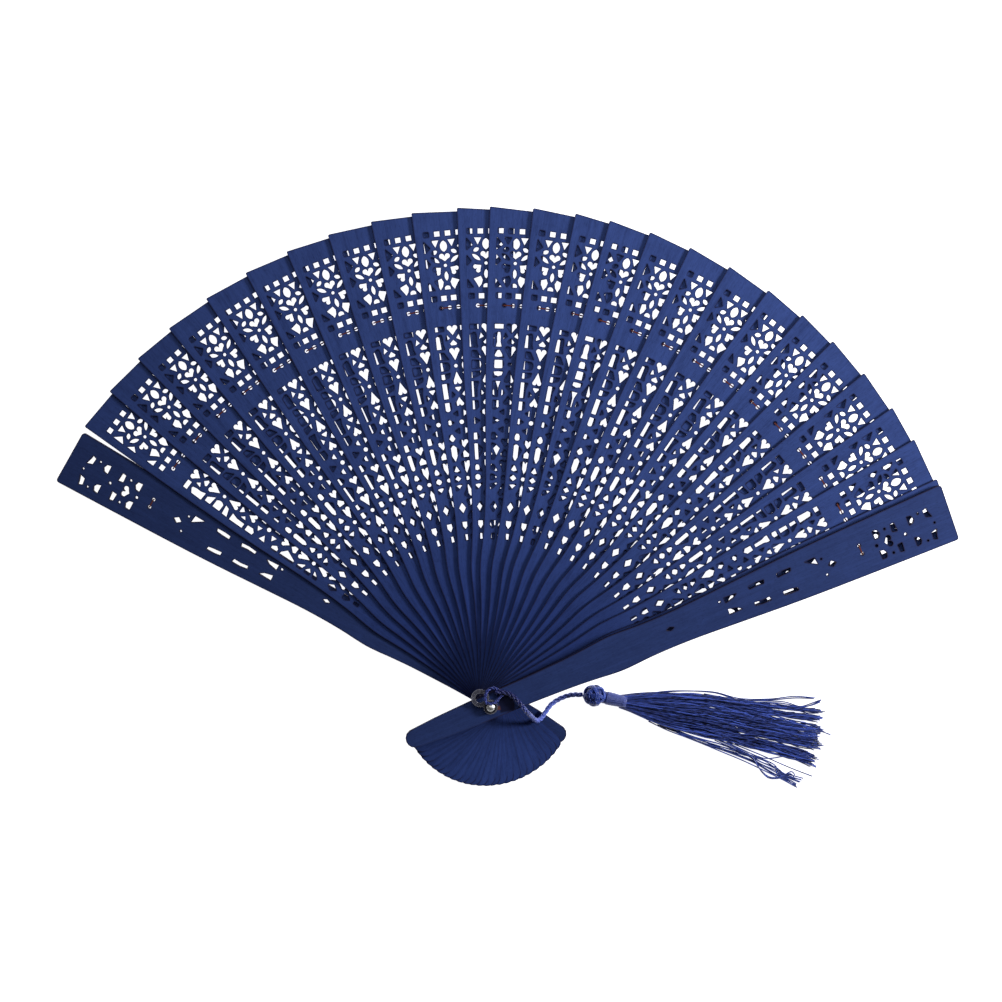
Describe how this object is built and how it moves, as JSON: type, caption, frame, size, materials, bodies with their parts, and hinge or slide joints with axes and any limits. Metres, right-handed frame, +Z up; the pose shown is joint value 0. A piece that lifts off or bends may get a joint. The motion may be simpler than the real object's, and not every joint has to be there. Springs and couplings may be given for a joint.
{
  "type": "sandalwood folding fan",
  "caption": "Brise hand fan of pierced wooden sticks on one rivet between two carved guards, laid open, with a knotted thread tassel on a cord.",
  "frame": {"origin": "on the rivet's axis, at the back face of the left guard, which lies on the table", "axes": "+Z up out of the table through the blades, +Y from the rivet to the middle of the open fan, +X to the right of it as seen from the front"},
  "size_m": [0.315, 0.2034, 0.0285],
  "materials": {
    "dyed_stick": "dyed blue, satin, fine grain along the stick",
    "dyed_guard": "dyed blue, satin",
    "string": "thin brown stringing thread",
    "rivet_metal": "bright nickel plate",
    "washer_metal": "dark",
    "link_plastic": "milky, clear",
    "cord": "twisted rayon cord",
    "tassel": "silky rayon thread"
  },
  "bodies": {
    "left_guard": {"guard_left": "dyed_guard", "thread_left": "string", "rivet": "rivet_metal", "pivot_washer": "washer_metal"},
    "right_guard": {"guard_right": "dyed_guard", "thread_right": "string"},
    "blade_01": {"stick_01": "dyed_stick", "thread_01": "string"},
    "blade_02": {"stick_02": "dyed_stick", "thread_02": "string"},
    "blade_03": {"stick_03": "dyed_stick", "thread_03": "string"},
    "blade_04": {"stick_04": "dyed_stick", "thread_04": "string"},
    "blade_05": {"stick_05": "dyed_stick", "thread_05": "string"},
    "blade_06": {"stick_06": "dyed_stick", "thread_06": "string"},
    "blade_07": {"stick_07": "dyed_stick", "thread_07": "string"},
    "blade_08": {"stick_08": "dyed_stick", "thread_08": "string"},
    "blade_09": {"stick_09": "dyed_stick", "thread_09": "string"},
    "blade_10": {"stick_10": "dyed_stick", "thread_10": "string"},
    "blade_11": {"stick_11": "dyed_stick", "thread_11": "string"},
    "blade_12": {"stick_12": "dyed_stick", "thread_12": "string"},
    "blade_13": {"stick_13": "dyed_stick", "thread_13": "string"},
    "blade_14": {"stick_14": "dyed_stick", "thread_14": "string"},
    "blade_15": {"stick_15": "dyed_stick", "thread_15": "string"},
    "blade_16": {"stick_16": "dyed_stick", "thread_16": "string"},
    "blade_17": {"stick_17": "dyed_stick", "thread_17": "string"},
    "blade_18": {"stick_18": "dyed_stick", "thread_18": "string"},
    "blade_19": {"stick_19": "dyed_stick", "thread_19": "string"},
    "blade_20": {"stick_20": "dyed_stick", "thread_20": "string"},
    "blade_21": {"stick_21": "dyed_stick", "thread_21": "string"},
    "blade_22": {"stick_22": "dyed_stick", "thread_22": "string"},
    "blade_23": {"stick_23": "dyed_stick", "thread_23": "string"},
    "blade_24": {"stick_24": "dyed_stick", "thread_24": "string"},
    "blade_25": {"stick_25": "dyed_stick"},
    "tassel": {"cord_link": "link_plastic", "tassel_cord": "cord", "tassel_knot": "tassel", "tassel_collar": "tassel", "tassel_skirt": "tassel"}
  },
  "joints": [
    {"name": "fan_close", "type": "hinge", "parent": "left_guard", "child": "right_guard", "pos_m": [0, 0, 0], "axis": [0, 0, 1], "range_deg": [0, 127.1]},
    {"name": "blade_01_turn", "type": "hinge", "parent": "left_guard", "child": "blade_01", "pos_m": [0, 0, 0], "axis": [0, 0, 1], "range_deg": [0, 7.32]},
    {"name": "blade_02_turn", "type": "hinge", "parent": "left_guard", "child": "blade_02", "pos_m": [0, 0, 0], "axis": [0, 0, 1], "range_deg": [0, 12.42]},
    {"name": "blade_03_turn", "type": "hinge", "parent": "left_guard", "child": "blade_03", "pos_m": [0, 0, 0], "axis": [0, 0, 1], "range_deg": [0, 17.52]},
    {"name": "blade_04_turn", "type": "hinge", "parent": "left_guard", "child": "blade_04", "pos_m": [0, 0, 0], "axis": [0, 0, 1], "range_deg": [0, 22.62]},
    {"name": "blade_05_turn", "type": "hinge", "parent": "left_guard", "child": "blade_05", "pos_m": [0, 0, 0], "axis": [0, 0, 1], "range_deg": [0, 28.22]},
    {"name": "blade_06_turn", "type": "hinge", "parent": "left_guard", "child": "blade_06", "pos_m": [0, 0, 0], "axis": [0, 0, 1], "range_deg": [0, 33.72]},
    {"name": "blade_07_turn", "type": "hinge", "parent": "left_guard", "child": "blade_07", "pos_m": [0, 0, 0], "axis": [0, 0, 1], "range_deg": [0, 39.12]},
    {"name": "blade_08_turn", "type": "hinge", "parent": "left_guard", "child": "blade_08", "pos_m": [0, 0, 0], "axis": [0, 0, 1], "range_deg": [0, 44.32]},
    {"name": "blade_09_turn", "type": "hinge", "parent": "left_guard", "child": "blade_09", "pos_m": [0, 0, 0], "axis": [0, 0, 1], "range_deg": [0, 49.52]},
    {"name": "blade_10_turn", "type": "hinge", "parent": "left_guard", "child": "blade_10", "pos_m": [0, 0, 0], "axis": [0, 0, 1], "range_deg": [0, 54.32]},
    {"name": "blade_11_turn", "type": "hinge", "parent": "left_guard", "child": "blade_11", "pos_m": [0, 0, 0], "axis": [0, 0, 1], "range_deg": [0, 59.62]},
    {"name": "blade_12_turn", "type": "hinge", "parent": "left_guard", "child": "blade_12", "pos_m": [0, 0, 0], "axis": [0, 0, 1], "range_deg": [0, 63.42]},
    {"name": "blade_13_turn", "type": "hinge", "parent": "left_guard", "child": "blade_13", "pos_m": [0, 0, 0], "axis": [0, 0, 1], "range_deg": [0, 68.42]},
    {"name": "blade_14_turn", "type": "hinge", "parent": "left_guard", "child": "blade_14", "pos_m": [0, 0, 0], "axis": [0, 0, 1], "range_deg": [0, 73.32]},
    {"name": "blade_15_turn", "type": "hinge", "parent": "left_guard", "child": "blade_15", "pos_m": [0, 0, 0], "axis": [0, 0, 1], "range_deg": [0, 77.32]},
    {"name": "blade_16_turn", "type": "hinge", "parent": "left_guard", "child": "blade_16", "pos_m": [0, 0, 0], "axis": [0, 0, 1], "range_deg": [0, 82.12]},
    {"name": "blade_17_turn", "type": "hinge", "parent": "left_guard", "child": "blade_17", "pos_m": [0, 0, 0], "axis": [0, 0, 1], "range_deg": [0, 87.02]},
    {"name": "blade_18_turn", "type": "hinge", "parent": "left_guard", "child": "blade_18", "pos_m": [0, 0, 0], "axis": [0, 0, 1], "range_deg": [0, 92.02]},
    {"name": "blade_19_turn", "type": "hinge", "parent": "left_guard", "child": "blade_19", "pos_m": [0, 0, 0], "axis": [0, 0, 1], "range_deg": [0, 97.22]},
    {"name": "blade_20_turn", "type": "hinge", "parent": "left_guard", "child": "blade_20", "pos_m": [0, 0, 0], "axis": [0, 0, 1], "range_deg": [0, 102.02]},
    {"name": "blade_21_turn", "type": "hinge", "parent": "left_guard", "child": "blade_21", "pos_m": [0, 0, 0], "axis": [0, 0, 1], "range_deg": [0, 106.62]},
    {"name": "blade_22_turn", "type": "hinge", "parent": "left_guard", "child": "blade_22", "pos_m": [0, 0, 0], "axis": [0, 0, 1], "range_deg": [0, 111.72]},
    {"name": "blade_23_turn", "type": "hinge", "parent": "left_guard", "child": "blade_23", "pos_m": [0, 0, 0], "axis": [0, 0, 1], "range_deg": [0, 116.82]},
    {"name": "blade_24_turn", "type": "hinge", "parent": "left_guard", "child": "blade_24", "pos_m": [0, 0, 0], "axis": [0, 0, 1], "range_deg": [0, 121.22]},
    {"name": "blade_25_turn", "type": "hinge", "parent": "left_guard", "child": "blade_25", "pos_m": [0, 0, 0], "axis": [0, 0, 1], "range_deg": [0, 126.42]},
    {"name": "tassel_swing", "type": "hinge", "parent": "right_guard", "child": "tassel", "pos_m": [0, 0, 0.026], "axis": [0, 0, 1], "range_deg": [-3, 2]}
  ],
  "couplings": [
    {"joint": "blade_01_turn", "follows": "fan_close", "ratio": 0.057435},
    {"joint": "blade_02_turn", "follows": "fan_close", "ratio": 0.097561},
    {"joint": "blade_03_turn", "follows": "fan_close", "ratio": 0.13769},
    {"joint": "blade_04_turn", "follows": "fan_close", "ratio": 0.17781},
    {"joint": "blade_05_turn", "follows": "fan_close", "ratio": 0.22187},
    {"joint": "blade_06_turn", "follows": "fan_close", "ratio": 0.26515},
    {"joint": "blade_07_turn", "follows": "fan_close", "ratio": 0.30763},
    {"joint": "blade_08_turn", "follows": "fan_close", "ratio": 0.34854},
    {"joint": "blade_09_turn", "follows": "fan_close", "ratio": 0.38946},
    {"joint": "blade_10_turn", "follows": "fan_close", "ratio": 0.42722},
    {"joint": "blade_11_turn", "follows": "fan_close", "ratio": 0.46892},
    {"joint": "blade_12_turn", "follows": "fan_close", "ratio": 0.49882},
    {"joint": "blade_13_turn", "follows": "fan_close", "ratio": 0.53816},
    {"joint": "blade_14_turn", "follows": "fan_close", "ratio": 0.57671},
    {"joint": "blade_15_turn", "follows": "fan_close", "ratio": 0.60818},
    {"joint": "blade_16_turn", "follows": "fan_close", "ratio": 0.64595},
    {"joint": "blade_17_turn", "follows": "fan_close", "ratio": 0.6845},
    {"joint": "blade_18_turn", "follows": "fan_close", "ratio": 0.72384},
    {"joint": "blade_19_turn", "follows": "fan_close", "ratio": 0.76475},
    {"joint": "blade_20_turn", "follows": "fan_close", "ratio": 0.80252},
    {"joint": "blade_21_turn", "follows": "fan_close", "ratio": 0.83871},
    {"joint": "blade_22_turn", "follows": "fan_close", "ratio": 0.87884},
    {"joint": "blade_23_turn", "follows": "fan_close", "ratio": 0.91896},
    {"joint": "blade_24_turn", "follows": "fan_close", "ratio": 0.95358},
    {"joint": "blade_25_turn", "follows": "fan_close", "ratio": 0.99449}
  ]
}
